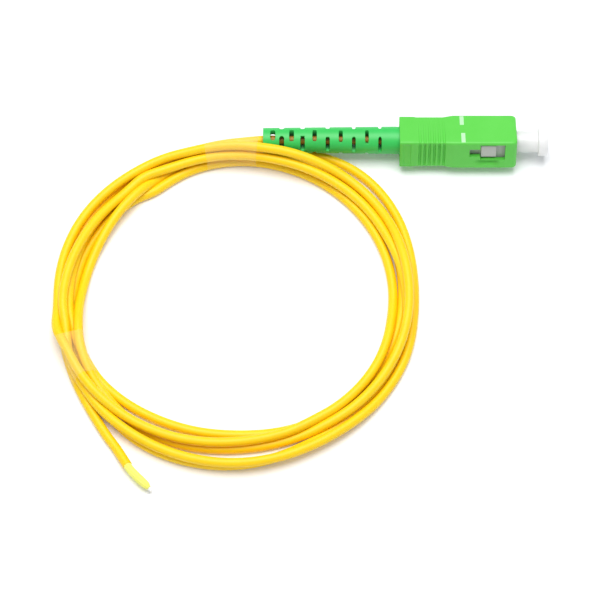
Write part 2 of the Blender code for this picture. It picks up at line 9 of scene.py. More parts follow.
import bmesh
import bpy
import numpy as np
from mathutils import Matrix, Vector


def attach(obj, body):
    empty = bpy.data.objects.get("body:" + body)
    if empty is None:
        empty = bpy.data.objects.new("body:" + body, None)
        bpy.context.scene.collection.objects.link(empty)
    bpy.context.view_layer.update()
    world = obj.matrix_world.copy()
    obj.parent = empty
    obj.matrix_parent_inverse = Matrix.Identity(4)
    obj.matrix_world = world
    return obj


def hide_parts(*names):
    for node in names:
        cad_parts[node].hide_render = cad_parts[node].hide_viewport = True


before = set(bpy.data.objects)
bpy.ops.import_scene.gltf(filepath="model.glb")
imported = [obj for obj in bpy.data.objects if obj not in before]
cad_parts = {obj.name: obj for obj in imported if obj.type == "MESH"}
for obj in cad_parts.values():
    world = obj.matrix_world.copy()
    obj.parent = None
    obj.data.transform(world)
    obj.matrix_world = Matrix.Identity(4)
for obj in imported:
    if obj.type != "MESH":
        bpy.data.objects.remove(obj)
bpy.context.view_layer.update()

# ---- Camera -------------------------------------------------------------------------------------
# A long lens looks down on the coil from 62 degrees above the floor, square to the connector.
# The frame's middle falls inside the coil, so the connector sits in the upper right.

VIEW_TARGET = Vector((-0.02255, -0.03605, 0.0))
VIEW_ELEVATION = math.radians(62.0)
VIEW_DISTANCE = 0.63158

camera_data = bpy.data.cameras.new("photo_camera")
camera_data.sensor_width = 36.0
camera_data.lens = 180.0
camera_data.clip_end = 10.0
camera = bpy.data.objects.new("photo_camera", camera_data)
bpy.context.collection.objects.link(camera)
view_way = Vector((0.0, math.cos(VIEW_ELEVATION), -math.sin(VIEW_ELEVATION)))
camera.location = VIEW_TARGET - view_way * VIEW_DISTANCE
camera.rotation_euler = view_way.to_track_quat("-Z", "Y").to_euler()
bpy.context.scene.camera = camera
bpy.context.scene.view_settings.view_transform = "Standard"

# ---- Cable --------------------------------------------------------------------------------------
# A simplex patch cable: glass in a tight buffer, aramid yarn round it and a 2 mm PVC jacket,
# extruded in one colour. Five turns and a third lie in a flat coil that the hand wound, so the
# turns cross and stack by chance. The lead comes out of the boot and the far end is cut open.

MM = 0.001
CABLE_RADIUS = 1.0
COIL_X, COIL_Y = -35.75, -37.49
# The connector's axis in the frame, its roll about that axis, and the boot on it. The boot's x
# counts from the front of the grip.
AXIS_X, AXIS_Z = 23.775, 4.677
ROLL = math.radians(15.97)
BOOT_TIP_X, BOOT_SEAT_X = -54.25, -23.8
BOOT_TIP_RADIUS = 2.65
BOOT_BEND, BOOT_BEND_LENGTH = 0.34, 2.4

# Radius of each turn as the camera sees it at a height of 2 mm, every 30 degrees from 90 on, and
# how high it lies there: 0 is on the floor, 1 on another turn and 2 on two.
FIRST_DEGREES, KNOT_DEGREES, POINT_DEGREES = 90.0, 30.0, 3.0
SEEN_HEIGHT, LAYER_RISE = 2.0, 1.75
TURN_RADII = [
    [38.9, 36.2, 35.8, 35.2, 34.1, 31.7, 30.8, 32.3, 33.3, 34.7, 36.0, 36.7],
    [36.6, 34.8, 32.5, 32.8, 34.4, 35.6, 34.0, 33.9, 35.0, 36.0, 37.4, 38.1],
    [38.2, 38.4, 38.7, 37.5, 36.2, 34.3, 32.3, 31.8, 32.6, 32.7, 33.4, 34.0],
    [34.3, 33.0, 33.9, 34.4, 36.0, 38.4, 38.0, 35.8, 35.7, 35.6, 35.4, 35.5],
    [35.6, 35.3, 35.9, 36.3, 37.2, 37.2, 37.2, 36.5, 37.3, 37.1, 39.5, 40.0],
    [38.2, 37.7, 37.1, 36.6, 38.0],
]
TURN_LAYERS = [
    [1.6, 0.2, 0.0, 0.0, 0.1, 0.0, 0.0, 0.0, 0.0, 0.5, 0.0, 0.0],
    [0.0, 0.0, 0.4, 0.5, 1.0, 0.0, 0.0, 0.0, 0.5, 1.0, 1.0, 2.0],
    [2.5, 1.2, 1.0, 1.0, 0.9, 1.0, 1.0, 1.0, 1.0, 0.5, 0.3, 0.2],
    [0.1, 0.0, 0.0, 0.0, 0.0, 0.0, 0.0, 0.0, 0.0, 0.8, 1.0, 2.0],
    [2.0, 0.9, 0.8, 0.6, 0.3, 1.0, 1.0, 1.0, 0.3, 0.0, 0.0, 0.0],
    [0.0, 0.0, 0.0, 0.0, 0.0],
]
# The last stretch leaves the coil and ends at a point told from the coil's middle.
LEAVING_DEGREES = [10.0, 20.0, 25.0]
LEAVING_RADII = [39.0, 40.7, 42.2]
TAIL_END = (-22.0, -37.6, 1.6)
# Knots of their own near the boot and the tapes: degrees travelled, radius and height. The lead
# slopes down from the boot. The second turn ends in a climb over the boot's side, the fourth ends
# leaning on it, and the fifth ends below them on the floor. In the held stretches the height
# doesn't give way.
HELD = np.array([
    (90, 38.7, 4.5), (96, 38.3, 4.0), (102, 37.9, 3.3), (108, 37.5, 2.6), (114, 36.9, 1.95),
    (120, 36.3, 1.4), (126, 35.9, 1.05),
    (740, 36.8, 2.8), (768, 37.8, 3.2), (774, 37.8, 4.0), (780, 37.85, 5.0), (786, 37.8, 5.9),
    (792, 37.75, 6.5), (798, 37.7, 6.75), (804, 37.75, 6.6), (810, 37.9, 6.15), (816, 38.0, 5.6),
    (822, 38.1, 5.0), (828, 38.15, 4.4), (834, 38.2, 3.85), (840, 38.3, 3.35), (846, 38.4, 3.0),
    (910, 36.9, 2.7),
    (1482, 35.5, 2.8), (1488, 35.5, 2.95), (1494, 35.5, 3.3), (1500, 35.45, 3.75),
    (1506, 35.4, 4.15), (1512, 35.35, 4.45), (1518, 35.35, 4.55), (1524, 35.4, 4.45),
    (1530, 35.5, 4.2), (1536, 35.6, 3.85), (1542, 35.65, 3.55), (1548, 35.6, 3.3),
    (1554, 35.5, 3.1), (1560, 35.5, 3.0), (1566, 35.5, 2.9), (1572, 35.5, 2.8),
    (1810, 37.4, 1.0), (1820, 38.3, 1.0), (1848, 40.7, 1.0), (1854, 40.7, 1.0), (1865, 39.5, 1.0),
    (1870, 38.8, 1.0), (1876, 38.3, 1.0), (1990, 36.9, 1.0), (2000, 37.4, 1.0),
], dtype=float)
HELD_STRETCHES = [(0.0, 127.0), (773.0, 847.0), (1487.0, 1573.0)]


def smoothed(values, passes):
    """Average each value with its two neighbours, a quarter of each, a number of times over."""
    values = values.copy()
    for _ in range(passes):
        values[1:-1] = 0.25 * values[:-2] + 0.5 * values[1:-1] + 0.25 * values[2:]
    return values


def bending(values):
    """Fourth difference of a row of values: how hard a stiff cord pulls back at each point."""
    second = np.zeros_like(values)
    second[1:-1] = values[:-2] - 2 * values[1:-1] + values[2:]
    fourth = np.zeros_like(values)
    fourth[1:-1] = second[:-2] - 2 * second[1:-1] + second[2:]
    return fourth


def boot_bend_at(x):
    """How far back the pull of the coil takes the boot at a place along the connector: a quarter
    sine where it leaves its seat."""
    share = np.clip((BOOT_SEAT_X - x) / BOOT_BEND_LENGTH, 0.0, 1.0)
    return BOOT_BEND * np.sin(math.pi / 2 * share)


def settle_coil():
    """Lay the turns down as a stiff cord lies, and return each point's angle, radius and height.

    At each step a point is drawn to the radius that the camera sees, sinks a little, is pulled
    back by its own stiffness, and is pushed off any turn at the same angle that is nearer than
    one diameter, and off the boot. The camera looks down at a slant, so a point that lies h
    higher seems further back by h times the tangent of 28 degrees, and the sine of the point's
    angle gives the share of that along its radius.
    """
    steps, late = 5000, 4000
    draw, stiffness, push_off, sink, late_sink = 0.03, 0.06, 0.3, 0.005, 0.0015
    boot_reach_x, mouth_points = -31.2, 6
    radii = np.concatenate(TURN_RADII + [LEAVING_RADII])
    layers = np.concatenate(TURN_LAYERS + [np.zeros(len(LEAVING_RADII))])
    knots = FIRST_DEGREES + KNOT_DEGREES * np.arange(len(radii) - len(LEAVING_RADII))
    knots = np.concatenate([knots, knots[-1] + LEAVING_DEGREES])
    rows = np.stack([knots, radii, CABLE_RADIUS + LAYER_RISE * layers], axis=1)
    free = np.abs(knots[:, None] - HELD[:, 0]).min(axis=1) > 1.0
    rows = np.vstack([rows[free], HELD])
    knots, radii, heights = rows[np.argsort(rows[:, 0])].T
    angle = np.arange(FIRST_DEGREES, knots[-1] + 0.1, POINT_DEGREES)
    per_turn = round(360.0 / POINT_DEGREES)
    wanted = smoothed(np.interp(angle, knots, radii), 10)
    height = np.interp(angle, knots, heights)
    held = np.any([(angle > start) & (angle < end) for start, end in HELD_STRETCHES], axis=0)
    held_height = smoothed(height, 2)[held]
    lean = math.tan(math.radians(90.0) - VIEW_ELEVATION) * np.sin(np.radians(angle))
    radius = wanted - lean * (height - SEEN_HEIGHT)
    for step in range(steps):
        radius += draw * (wanted - lean * (height - SEEN_HEIGHT) - radius)
        height -= sink if step < late else late_sink
        radius -= stiffness * bending(radius)
        height -= stiffness * bending(height)
        for turns in range(1, len(TURN_RADII)):
            count = len(angle) - turns * per_turn
            across = radius[turns * per_turn:] - radius[:count]
            above = height[turns * per_turn:] - height[:count]
            apart = np.hypot(across, above) + 1e-9
            push = push_off * np.maximum(0.0, 2.0 * CABLE_RADIUS - apart) / apart
            radius[turns * per_turn:] += push * across
            radius[:count] -= push * across
            height[turns * per_turn:] += push * above
            height[:count] -= push * above
        x = COIL_X + radius * np.cos(np.radians(angle))
        y = COIL_Y + radius * np.sin(np.radians(angle))
        nearer, below = boot_bend_at(x - AXIS_X) - y, AXIS_Z - height
        away = np.hypot(nearer, below)
        clear = BOOT_TIP_RADIUS + CABLE_RADIUS
        push = push_off * np.maximum(0.0, clear - away) * (x > boot_reach_x) / away
        push[:mouth_points] = 0.0
        height -= push * below
        radius -= push * nearer
        np.maximum(height, CABLE_RADIUS, out=height)
        height[held] = held_height
    return np.radians(angle), radius, height


def through(knots, per_span):
    """Read a smooth path through knots: on each span a cubic whose slopes at the two ends are
    half the difference of the knots on either side."""
    knots = np.asarray(knots, dtype=float)
    padded = np.vstack([2 * knots[0] - knots[1], knots, 2 * knots[-1] - knots[-2]])
    place = np.linspace(0.0, len(knots) - 1.0, (len(knots) - 1) * per_span + 1)
    span = np.minimum(place.astype(int), len(knots) - 2)
    t = (place - span)[:, None]
    a, b, c, d = (padded[span + shift] for shift in range(4))
    return 0.5 * (
        2 * b + (c - a) * t + (2 * a - 5 * b + 4 * c - d) * t**2 + (3 * b - a - 3 * c + d) * t**3
    )


def circles_along(path, radii, sides):
    """Stand a circle square across a nearly level path at each point: one axis is level, the
    other is the path's direction times the level one."""
    ahead = np.gradient(path, axis=0)
    ahead /= np.linalg.norm(ahead, axis=1, keepdims=True)
    level = np.cross([0.0, 0.0, 1.0], ahead)
    level /= np.linalg.norm(level, axis=1, keepdims=True)
    upright = np.cross(ahead, level)
    turn = 2 * math.pi * np.arange(sides)[None, :, None] / sides
    around = np.cos(turn) * level[:, None] + np.sin(turn) * upright[:, None]
    return path[:, None] + np.broadcast_to(radii, len(path))[:, None, None] * around


def ring_faces(rows, columns, wrap_rows=False):
    """Quads between rings of points, each ring closed on itself, and the last ring joined to the
    first if the rows wrap too."""
    row = np.arange(rows if wrap_rows else rows - 1)[:, None] * columns
    above = (row + columns) % (rows * columns)
    column = np.arange(columns)[None, :]
    after = (column + 1) % columns
    corners = np.broadcast_arrays(row + column, row + after, above + after, above + column)
    return np.stack(corners, axis=-1).reshape(-1, 4)


def closed_ends(faces, rows, columns):
    """Add one face over the first ring and one over the last, so that the skin is closed."""
    last = np.arange((rows - 1) * columns, rows * columns)
    return faces.tolist() + [np.arange(columns)[::-1].tolist(), last.tolist()]


def add_piece(name, points, faces, material, body, smooth_below=40.0):
    """Make a piece from points in millimetres: the object stays at the origin, unturned. Its
    faces are turned outward and shaded smooth up to an angle."""
    mesh = bpy.data.meshes.new(name)
    places = (np.asarray(points).reshape(-1, 3) * MM).tolist()
    mesh.from_pydata(places, [], [list(face) for face in faces])
    work = bmesh.new()
    work.from_mesh(mesh)
    bmesh.ops.remove_doubles(work, verts=work.verts, dist=1e-6)
    bmesh.ops.recalc_face_normals(work, faces=work.faces)
    work.to_mesh(mesh)
    work.free()
    mesh.shade_smooth()
    mesh.set_sharp_from_angle(angle=math.radians(smooth_below))
    mesh.materials.append(material)
    piece = bpy.data.objects.new(name, mesh)
    bpy.context.collection.objects.link(piece)
    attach(piece, body)
    return piece


def linear(hex_colour):
    """Turn an sRGB hex colour to linear red, green, blue and full alpha."""
    parts = [int(hex_colour[at:at + 2], 16) / 255 for at in (1, 3, 5)]
    curve = [c / 12.92 if c <= 0.04045 else ((c + 0.055) / 1.055) ** 2.4 for c in parts]
    return (*curve, 1.0)


def new_material(name, colour, roughness, ior=1.5):
    """Return a material, its node tree and its Principled shader with its plain values set."""
    material = bpy.data.materials.new(name)
    material.use_nodes = True
    tree = material.node_tree
    shader = tree.nodes["Principled BSDF"]
    shader.inputs["Base Color"].default_value = linear(colour)
    shader.inputs["Roughness"].default_value = roughness
    shader.inputs["IOR"].default_value = ior
    material.diffuse_color = linear(colour)
    return material, tree, shader


def add_node(tree, kind, links, **settings):
    """Add a node. Links maps an input's name or number to a value or to another node's socket,
    and settings are the node's own properties."""
    node = tree.nodes.new(kind)
    for key, value in settings.items():
        setattr(node, key, value)
    for key, value in links.items():
        if isinstance(value, bpy.types.NodeSocket):
            tree.links.new(value, node.inputs[key])
        else:
            node.inputs[key].default_value = value
    return node


# Extruded PVC: one even yellow that goes orange where turns shade each other. It has a satin
# skin with a slight orange peel and faint draw lines along the cable. Its map runs in
# millimetres along the cable and in turns round it. Inside the boot's mouth the yellow is painted
# over with a brown shade, for the shadow that the boot casts on the cable there.
MOUTH_FROM, MOUTH_TO = 27.2, 28.6
jacket, tree, shader = new_material("extruded_yellow_pvc", "#FBCE08", 0.46, 1.43)
along = add_node(tree, "ShaderNodeUVMap", {}, uv_map="along_and_round")
stretched = add_node(tree, "ShaderNodeMapping", {
    0: along.outputs[0], "Scale": (0.25, 3.0, 1.0)})
clouding = add_node(tree, "ShaderNodeTexNoise", {
    "Vector": stretched.outputs[0], "Scale": 1.0, "Detail": 3.0})
tint = add_node(tree, "ShaderNodeMix", {
    0: clouding.outputs[0], 6: linear("#FBCA05"), 7: linear("#FFD608")}, data_type="RGBA")
run = add_node(tree, "ShaderNodeSeparateXYZ", {0: along.outputs[0]})
# Painted shade: the first 27.2 mm of cable, inside the boot, are painted brown, fading to yellow by
# 28.6 mm.
painted_mouth_shade = add_node(tree, "ShaderNodeMapRange", {
    0: run.outputs[0], 1: MOUTH_FROM, 2: MOUTH_TO, 3: 1.0, 4: 0.0})
shaded = add_node(tree, "ShaderNodeMix", {
    0: painted_mouth_shade.outputs[0], 6: tint.outputs[2], 7: linear("#C08A2E")}, data_type="RGBA")
tree.links.new(shaded.outputs[2], shader.inputs["Base Color"])
place = add_node(tree, "ShaderNodeTexCoord", {})
peel = add_node(tree, "ShaderNodeTexNoise", {
    "Vector": place.outputs["Object"], "Scale": 3500.0, "Detail": 2.0})
draw_lines = add_node(tree, "ShaderNodeMapping", {
    0: along.outputs[0], "Scale": (0.08, 40.0, 1.0)})
lines = add_node(tree, "ShaderNodeTexNoise", {
    "Vector": draw_lines.outputs[0], "Scale": 1.0, "Detail": 2.0})
relief = add_node(tree, "ShaderNodeMath", {
    0: peel.outputs[0], 1: lines.outputs[0]}, operation="ADD")
bump = add_node(tree, "ShaderNodeBump", {
    "Height": relief.outputs[0], "Strength": 0.12, "Distance": 0.00004})
tree.links.new(bump.outputs[0], shader.inputs["Normal"])
shader.inputs["Subsurface Weight"].default_value = 0.2
shader.inputs["Subsurface Radius"].default_value = (0.0025, 0.0012, 0.0001)
shader.inputs["Subsurface Scale"].default_value = 1.0

CABLE_SIDES = 18
coil_angle, coil_radius, coil_height = settle_coil()
coil_line = np.stack([
    COIL_X + coil_radius * np.cos(coil_angle),
    COIL_Y + coil_radius * np.sin(coil_angle),
    coil_height,
], axis=1)
inside_x = np.linspace(-2.5 - AXIS_X, BOOT_TIP_X, 9)
boot_line = np.stack([inside_x + AXIS_X, boot_bend_at(inside_x), np.full(9, AXIS_Z)], axis=1)
cut_place = [[COIL_X + TAIL_END[0], COIL_Y + TAIL_END[1], TAIL_END[2]]]
cable_line = through(np.vstack([boot_line, coil_line, cut_place]), 2)
cable_rings = circles_along(cable_line, CABLE_RADIUS, CABLE_SIDES)
cable_faces = closed_ends(ring_faces(len(cable_line), CABLE_SIDES), len(cable_line), CABLE_SIDES)
cable = add_piece("cable", cable_rings, cable_faces, jacket, "pigtail")

# The cable's map. A face that closes the round has its last corners at 1, not back at 0.
span_lengths = np.linalg.norm(np.diff(cable_line, axis=0), axis=1)
travelled = np.concatenate([[0.0], np.cumsum(span_lengths)])
corner_points = np.empty(len(cable.data.loops), dtype=int)
cable.data.loops.foreach_get("vertex_index", corner_points)
corner_count = np.empty(len(cable.data.polygons), dtype=int)
cable.data.polygons.foreach_get("loop_total", corner_count)
face_of_corner = np.repeat(np.arange(len(corner_count)), corner_count)
round_share = (corner_points % CABLE_SIDES) / CABLE_SIDES
widest = np.zeros(len(corner_count))
np.maximum.at(widest, face_of_corner, round_share)
round_share[(round_share == 0.0) & (widest[face_of_corner] > 0.9)] = 1.0
corner_uv = np.stack([travelled[corner_points // CABLE_SIDES], round_share], axis=1)
uv_layer = cable.data.uv_layers.new(name="along_and_round")
uv_layer.uv.foreach_set("vector", corner_uv.ravel())
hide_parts("cable_coil", "cable_lead", "cable_tail")

# ---- Tape bands ---------------------------------------------------------------------------------
# Clear office tape with a matt back, wound once round the turns at two places to hold the coil.
# The film pulls the turns together and spans the hollows between them.

BAND_POINTS, BAND_STATIONS = 90, 15
BAND_RADIUS = 35.4
FILM_INSIDE, FILM_OUTSIDE = 0.06, 0.10
FILM_FLOOR_GAP = 0.02
from_centre = cable_line[:, :2] - [COIL_X, COIL_Y]
line_angle = np.unwrap(np.arctan2(from_centre[:, 1], from_centre[:, 0]))
line_radius = np.hypot(from_centre[:, 0], from_centre[:, 1])
line_height = cable_line[:, 2]


def band_section(angle, clear):
    """Outline of a film drawn tight round the turns at one angle.

    For every direction the outermost turn is found, and the film's point is that turn's centre
    plus its radius and a clearance along the direction.
    """
    turns = angle + 2 * math.pi * np.arange(7)
    turns = turns[(turns >= line_angle[0]) & (turns <= line_angle[-1])]
    centre = np.stack([
        np.interp(turns, line_angle, line_radius), np.interp(turns, line_angle, line_height),
    ], axis=1)
    way = 2 * math.pi * np.arange(BAND_POINTS) / BAND_POINTS
    way = np.stack([np.cos(way), np.sin(way)], axis=1)
    outline = centre[np.argmax(way @ centre.T, axis=1)] + (CABLE_RADIUS + clear) * way
    radius, height = outline[:, 0], outline[:, 1]
    return np.stack([
        COIL_X + radius * math.cos(angle),
        COIL_Y + radius * math.sin(angle),
        np.maximum(height, FILM_FLOOR_GAP),
    ], axis=1)


# Clear polypropylene film: it barely shows over the yellow, as a slightly paler stretch with soft
# crinkles where it was pressed down.
film, tree, shader = new_material("matt_clear_tape", "#FFEEB4", 0.26, 1.47)
place = add_node(tree, "ShaderNodeTexCoord", {})
crinkle = add_node(tree, "ShaderNodeTexNoise", {
    "Vector": place.outputs["Object"], "Scale": 420.0, "Detail": 4.0})
bump = add_node(tree, "ShaderNodeBump", {
    "Height": crinkle.outputs[0], "Strength": 0.35, "Distance": 0.0002})
tree.links.new(bump.outputs[0], shader.inputs["Normal"])
shader.inputs["Alpha"].default_value = 0.075

for tape_name, middle_degrees, tape_width in (
    ("tape_band_top", 92.5, 11.2),
    ("tape_band_left", 202.5, 9.6),
):
    half_turn = tape_width / 2 / BAND_RADIUS
    stations = math.radians(middle_degrees) + np.linspace(-half_turn, half_turn, BAND_STATIONS)
    outside = [band_section(angle, FILM_OUTSIDE) for angle in stations]
    inside = [band_section(angle, FILM_INSIDE) for angle in stations]
    rings = np.array(outside + inside[::-1])
    film_faces = ring_faces(len(rings), BAND_POINTS, wrap_rows=True)
    tape = add_piece(tape_name + "_film", rings, film_faces, film, "pigtail", 60.0)
    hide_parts(tape_name)

# ---- Bare end -----------------------------------------------------------------------------------
# The jacket is cut square. The pale aramid yarn that pulls the cable through ducts stands out of
# it in a tuft, with the white 0.9 mm buffered fibre just past its tip.

YARN_SIDES, YARN_RIDGES, RIDGE_SHARE = 48, 11, 0.05
YARN_FLOOR_GAP = 0.03
tail_end = cable_line[-1]
tuft_knots = tail_end + np.array([
    (-0.6, 1.0, 0.0), (0.4, -0.7, 0.0), (2.0, -2.5, -0.05), (3.5, -4.0, -0.1), (4.5, -5.0, -0.1)])
tuft_line = through(tuft_knots, 6)
tuft_share = np.linspace(0, 1, len(tuft_line))
tuft_radius = np.interp(tuft_share, [0, 0.25, 0.6, 0.85, 1], [0.8, 0.82, 0.88, 0.8, 0.45])
tuft_rings = circles_along(tuft_line, tuft_radius, YARN_SIDES)
yarn_turn = np.arange(YARN_SIDES) * 2 * math.pi / YARN_SIDES
twist = np.linspace(0, 3, len(tuft_line))[:, None]
ridge = RIDGE_SHARE * np.sin(yarn_turn * YARN_RIDGES + twist)
tuft_rings += (tuft_rings - tuft_line[:, None]) * ridge[:, :, None]
tuft_rings[:, :, 2] = np.maximum(tuft_rings[:, :, 2], YARN_FLOOR_GAP)

# Aramid filaments, twisted loosely: pale yellow with a soft sheen, streaked along the tuft. The
# streaks are drawn 0.1 mm wide, because a filament of 0.012 mm doesn't show.
yarn, tree, shader = new_material("aramid_yarn_strands", "#FBFB78", 0.6, 1.6)
place = add_node(tree, "ShaderNodeTexCoord", {})
turned_place = add_node(tree, "ShaderNodeMapping", {
    0: place.outputs["Object"],
    "Rotation": (0.0, 0.0, math.radians(47.0)), "Scale": (600.0, 9000.0, 9000.0)})
strands = add_node(tree, "ShaderNodeTexNoise", {
    "Vector": turned_place.outputs[0], "Scale": 1.0, "Detail": 2.0})
tint = add_node(tree, "ShaderNodeMix", {
    0: strands.outputs[0], 6: linear("#EFED3E"), 7: linear("#FBFB84")}, data_type="RGBA")
tree.links.new(tint.outputs[2], shader.inputs["Base Color"])
bump = add_node(tree, "ShaderNodeBump", {
    "Height": strands.outputs[0], "Strength": 0.5, "Distance": 0.0001})
tree.links.new(bump.outputs[0], shader.inputs["Normal"])
shader.inputs["Sheen Weight"].default_value = 0.3
tuft_faces = closed_ends(ring_faces(len(tuft_line), YARN_SIDES), len(tuft_line), YARN_SIDES)
tuft = add_piece("yarn_tuft", tuft_rings, tuft_faces, yarn, "pigtail")
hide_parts("aramid_yarn")

# The tight buffer: white nylon extruded on the glass, smooth and slightly translucent.
FIBRE_RADIUS, FIBRE_SIDES = 0.45, 24
fibre_line = tail_end + np.linspace((3.2, -3.7, -0.3), (5.0, -5.4, -0.4), 7)
fibre_radius = np.array([1, 1, 1, 1, 1, 0.96, 0.8]) * FIBRE_RADIUS
buffer_coat, tree, shader = new_material("extruded_white_nylon_buffer", "#F4F4F0", 0.35, 1.53)
place = add_node(tree, "ShaderNodeTexCoord", {})
peel = add_node(tree, "ShaderNodeTexNoise", {"Vector": place.outputs["Object"], "Scale": 3000.0})
bump = add_node(tree, "ShaderNodeBump", {
    "Height": peel.outputs[0], "Strength": 0.1, "Distance": 0.00005})
tree.links.new(bump.outputs[0], shader.inputs["Normal"])
shader.inputs["Subsurface Weight"].default_value = 0.2
shader.inputs["Subsurface Radius"].default_value = (0.0006, 0.0006, 0.0006)
shader.inputs["Subsurface Scale"].default_value = 1.0
fibre_rings = circles_along(fibre_line, fibre_radius, FIBRE_SIDES)
fibre_faces = closed_ends(ring_faces(7, FIBRE_SIDES), 7, FIBRE_SIDES)
fibre = add_piece("fibre_tip", fibre_rings, fibre_faces, buffer_coat, "pigtail")
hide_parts("buffered_fibre")

# ---- Boot ---------------------------------------------------------------------------------------
# The strain relief: a tapered sleeve of soft elastomer that is moulded over a pin and pushed on
# the connector's spigot. Ten rings of three slots let it bend, and every other ring is turned, so
# that each slot lies beside the web between two others.

BOOT_SIDES = 72
BOOT_ROOT_X, BOOT_ROOT_RADIUS = -25.0, 2.95
MOUTH_RADIUS, BORE_RADIUS = 1.5, 1.12
SLOT_CENTRES = BOOT_TIP_X + np.array([
    2.1, 4.0, 6.125, 8.475, 11.05, 13.85, 16.65, 19.45, 22.25, 25.05])
SLOT_WIDTHS = np.linspace(1.05, 0.7, 10)
SLOT_PITCH = 120.0


def on_axis(points):
    """Place points of the connector's own frame: turn them about its length by the roll that its
    key gives it, then lift them to its axis."""
    points = np.asarray(points, dtype=float)
    x, y, z = points[..., 0], points[..., 1], points[..., 2]
    return np.stack([
        x + AXIS_X,
        y * math.cos(ROLL) + z * math.sin(ROLL),
        AXIS_Z - y * math.sin(ROLL) + z * math.cos(ROLL),
    ], axis=-1)


def walled(outer, inner, keep):
    """Faces of a tube whose wall runs from an outer grid of points to an inner one.

    Each kept cell gives one face on both grids. Wherever a kept cell meets a left-out one, or an
    end of the tube, a face joins the two grids, so that every opening has its own walls.
    """
    rows, columns = outer.shape[:2]
    first = np.arange(rows * columns).reshape(rows, columns)
    after = np.roll(first, -1, axis=1)
    deep = rows * columns
    skin = np.stack([first[:-1], after[:-1], after[1:], first[1:]], axis=-1)[keep]
    padded = np.vstack([np.zeros((1, columns), bool), keep, np.zeros((1, columns), bool)])
    across = padded[1:] != padded[:-1]
    ends = np.stack([first, after, after + deep, first + deep], axis=-1)[across]
    along_edge = keep != np.roll(keep, 1, axis=1)
    sides = np.stack([
        first[:-1], first[1:], first[1:] + deep, first[:-1] + deep], axis=-1)[along_edge]
    points = np.concatenate([outer.reshape(-1, 3), inner.reshape(-1, 3)])
    return points, np.concatenate([skin, skin[:, ::-1] + deep, ends, sides])


def degrees_off(turn, centre):
    """How many degrees a turn is from the nearest of three slots' centres: the difference,
    brought to between minus and plus half a pitch, without its sign."""
    return np.abs((turn - centre + SLOT_PITCH / 2) % SLOT_PITCH - SLOT_PITCH / 2)


boot_x = np.sort(np.concatenate([
    [BOOT_TIP_X, BOOT_TIP_X + 0.12],
    *[np.array([centre - width / 2, centre - width / 4, centre + width / 4, centre + width / 2])
      for centre, width in zip(SLOT_CENTRES, SLOT_WIDTHS)],
    (SLOT_CENTRES[:-1] + SLOT_CENTRES[1:]) / 2,
    np.linspace(-28.2, -25.2, 8),
    [BOOT_ROOT_X, BOOT_SEAT_X],
]))
boot_turn = np.radians(2.5 + 5.0 * np.arange(BOOT_SIDES))
cell_turn = np.degrees(boot_turn) + 2.5
grid_x = np.repeat(boot_x[:, None], BOOT_SIDES, axis=1)
boot_keep = np.ones((len(boot_x) - 1, BOOT_SIDES), bool)
for number, (centre, width) in enumerate(zip(SLOT_CENTRES, SLOT_WIDTHS)):
    # Degrees from the near side up to the ring's slots, and half the degrees that one takes.
    # Odd rings are the wide ones. Each slot narrows to a round end over its last 12 degrees.
    start = (25.0 - 0.5 * number) if number % 2 else (70.0 - 1.1 * number)
    half = 37.5 if number % 2 else 27.5 + 0.6 * number
    reach = width / 2 + 0.01
    rows = (boot_x[:-1] > centre - reach) & (boot_x[1:] < centre + reach)
    boot_keep[np.ix_(rows, degrees_off(cell_turn, start) < half)] = False
    edge_away = degrees_off(np.degrees(boot_turn), start)
    narrowing = np.sqrt(1.0 - np.clip((edge_away - half + 12.0) / 12.5, 0.0, 0.92) ** 2)
    narrowing[edge_away > half + 1.0] = 1.0
    mine = np.abs(boot_x - centre) < reach
    grid_x[mine] = centre + (grid_x[mine] - centre) * narrowing
share = np.clip((grid_x - BOOT_TIP_X) / (BOOT_ROOT_X - BOOT_TIP_X), 0.0, 1.0)
boot_outer_radius = BOOT_TIP_RADIUS + (BOOT_ROOT_RADIUS - BOOT_TIP_RADIUS) * share
boot_bore = np.interp(grid_x, [BOOT_TIP_X, -51.4, -50.9], [MOUTH_RADIUS, MOUTH_RADIUS, BORE_RADIUS])
bend = boot_bend_at(grid_x)


def boot_skin(radius):
    """Circles of a radius round the bent centre line. The turn is counted from the near side up."""
    return np.stack([
        grid_x,
        -radius * np.cos(boot_turn) + bend * math.cos(ROLL),
        radius * np.sin(boot_turn) + bend * math.sin(ROLL),
    ], axis=-1)


# Moulded thermoplastic elastomer: a deeper, bluer green than the grip, with a soft gloss and a
# fine grain. The slots' walls and the bore are painted dark green, as painted shade for the dark
# inside them.
boot_plastic, tree, shader = new_material("moulded_green_elastomer", "#2FBF57", 0.44, 1.5)
place = add_node(tree, "ShaderNodeTexCoord", {})
grain = add_node(tree, "ShaderNodeTexNoise", {
    "Vector": place.outputs["Object"], "Scale": 2200.0, "Detail": 3.0})
mottle = add_node(tree, "ShaderNodeTexNoise", {
    "Vector": place.outputs["Object"], "Scale": 260.0, "Detail": 2.0})
tint = add_node(tree, "ShaderNodeMix", {
    0: mottle.outputs[0], 6: linear("#2CBB50"), 7: linear("#38C85E")}, data_type="RGBA")
